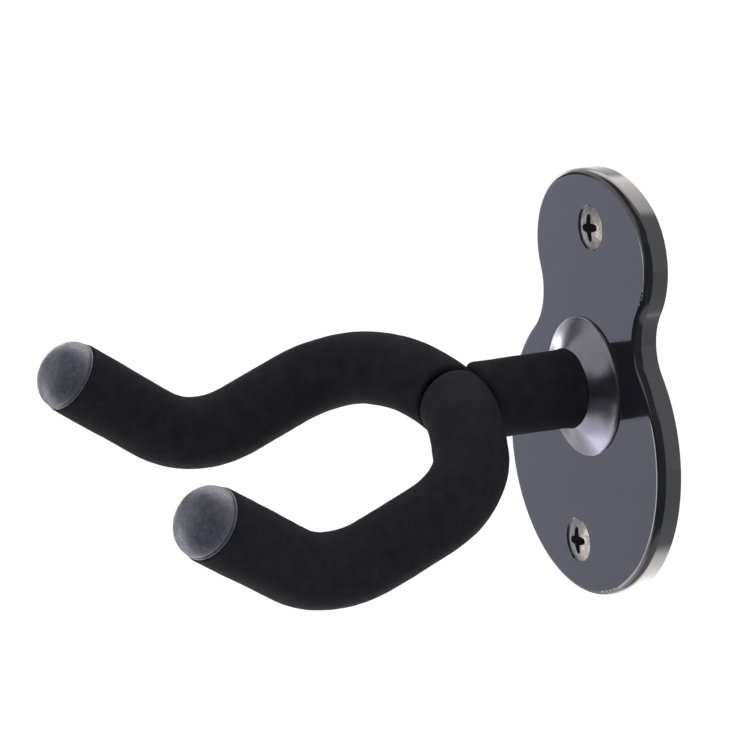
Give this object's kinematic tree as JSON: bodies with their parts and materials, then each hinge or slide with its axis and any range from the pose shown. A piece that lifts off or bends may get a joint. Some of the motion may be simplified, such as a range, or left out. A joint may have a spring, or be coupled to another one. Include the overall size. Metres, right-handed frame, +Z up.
{
  "type": "wall guitar hanger",
  "caption": "Guitar-shaped wall plate with a flared collar and a foam-covered, swivelling two-arm fork that holds a guitar by its headstock.",
  "frame": {"origin": "on the stem's axis in the wall plane, midway between the two wall screws", "axes": "+Y into the wall, so the fork stands out towards -Y; +Z up; +X to the right of a person facing the wall"},
  "size_m": [0.0868, 0.1288, 0.0949],
  "materials": {
    "black_paint": "gloss black enamel",
    "black_nickel": "bright black nickel plate",
    "nickel_steel": "dull nickel plate",
    "bush_nylon": "natural nylon",
    "rod_steel": "satin black",
    "black_foam": "matte closed-cell foam",
    "cap_rubber": "satin vinyl",
    "zinc_steel": "zinc plate",
    "spring_steel": "phosphated spring steel"
  },
  "bodies": {
    "wall_side": {"base_plate": "black_paint", "stem_collar": "black_nickel", "pivot_bush": "bush_nylon", "screw_upper": "nickel_steel", "screw_lower": "nickel_steel"},
    "fork": {"stem_rod": "rod_steel", "arm_rod_left": "rod_steel", "arm_rod_right": "rod_steel", "weld_bead": "rod_steel", "stem_foam": "black_foam", "arm_foam_left": "black_foam", "arm_foam_right": "black_foam", "arm_cap_left": "cap_rubber", "arm_cap_right": "cap_rubber", "thrust_washer": "zinc_steel", "rear_washer": "zinc_steel", "spring_washer": "spring_steel", "retaining_ring": "spring_steel"}
  },
  "joints": [
    {"name": "fork_swivel", "type": "hinge", "parent": "wall_side", "child": "fork", "pos_m": [0, 0, 0], "axis": [0, 1, 0], "continuous": true}
  ]
}
